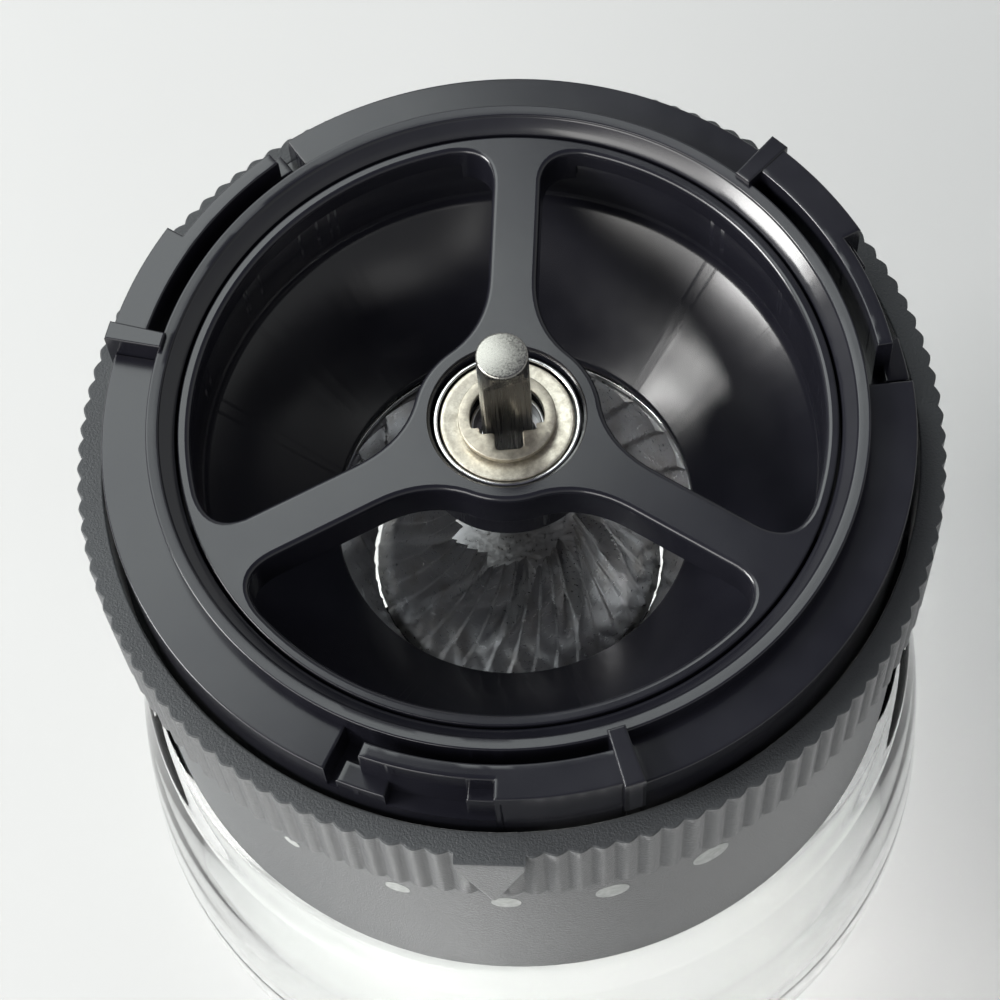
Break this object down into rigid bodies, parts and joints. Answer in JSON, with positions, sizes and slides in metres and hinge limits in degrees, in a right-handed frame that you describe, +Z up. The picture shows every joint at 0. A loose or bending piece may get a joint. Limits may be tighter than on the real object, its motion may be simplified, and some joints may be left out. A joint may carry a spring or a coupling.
{
  "type": "hand crank coffee grinder",
  "caption": "Glass jar with a screw-on conical burr grinding head: open hopper, spoke-carried crank shaft, fluted adjusting ring with index pointer. Lid and crank are off.",
  "frame": {"origin": "middle of the jar's foot, on the grinding axis", "axes": "+Z up along the crank shaft, -Y towards the index pointer and the printed dots, +X to the right"},
  "size_m": [0.1048, 0.1048, 0.1286],
  "materials": {
    "glass": "clear, moulded, faint waviness",
    "grained_plastic": "fine spark-eroded grain, charcoal",
    "gloss_plastic": "polished, near black",
    "inner_plastic": "satin black",
    "silicone": "translucent white silicone",
    "shaft_steel": "turned and brushed",
    "burr_steel": "ground, slightly dark",
    "plated_steel": "bright zinc plate",
    "bronze": "sintered bronze"
  },
  "bodies": {
    "jar": {"glass_jar": "glass"},
    "head": {"body_shell": "grained_plastic", "jar_gasket": "silicone", "hopper": "gloss_plastic", "spoke_carrier": "gloss_plastic", "bearing_outer_race": "plated_steel", "bearing_cover_plate": "shaft_steel", "bearing_bridge": "inner_plastic", "lower_bush": "bronze", "detent_spring": "plated_steel", "detent_ball": "plated_steel", "hopper_screw_1": "plated_steel", "hopper_screw_2": "plated_steel", "hopper_screw_3": "plated_steel", "bridge_screw_1": "plated_steel", "bridge_screw_2": "plated_steel", "bridge_screw_3": "plated_steel", "guide_pin_1": "plated_steel", "guide_pin_2": "plated_steel", "guide_pin_3": "plated_steel"},
    "dial": {"adjusting_ring": "grained_plastic", "adjusting_nut": "inner_plastic", "nut_screw_1": "plated_steel", "nut_screw_2": "plated_steel", "nut_screw_3": "plated_steel"},
    "lower_burr": {"burr_holder": "inner_plastic", "ring_burr": "burr_steel", "ring_burr_clip": "plated_steel"},
    "drive": {"drive_shaft": "shaft_steel", "bearing_inner_race": "plated_steel", "keyed_washer": "shaft_steel", "cone_burr": "burr_steel", "thrust_washer": "plated_steel", "burr_spring": "plated_steel", "shaft_nut": "plated_steel"}
  },
  "joints": [
    {"name": "head_lift", "type": "slide", "parent": "jar", "child": "head", "axis": [0, 0, 1], "range_m": [0, 0.045]},
    {"name": "dial_turn", "type": "hinge", "parent": "head", "child": "dial", "pos_m": [0, 0, 0.0975], "axis": [0, 0, 1], "range_deg": [-32, 32]},
    {"name": "burr_travel", "type": "slide", "parent": "head", "child": "lower_burr", "axis": [0, 0, 1], "range_m": [-0.0008, 0.0008]},
    {"name": "crank_shaft_turn", "type": "hinge", "parent": "head", "child": "drive", "pos_m": [0, 0, 0.1118], "axis": [0, 0, 1], "continuous": true}
  ],
  "couplings": [
    {"joint": "burr_travel", "follows": "dial_turn", "m_per_rad": 0.001432}
  ]
}
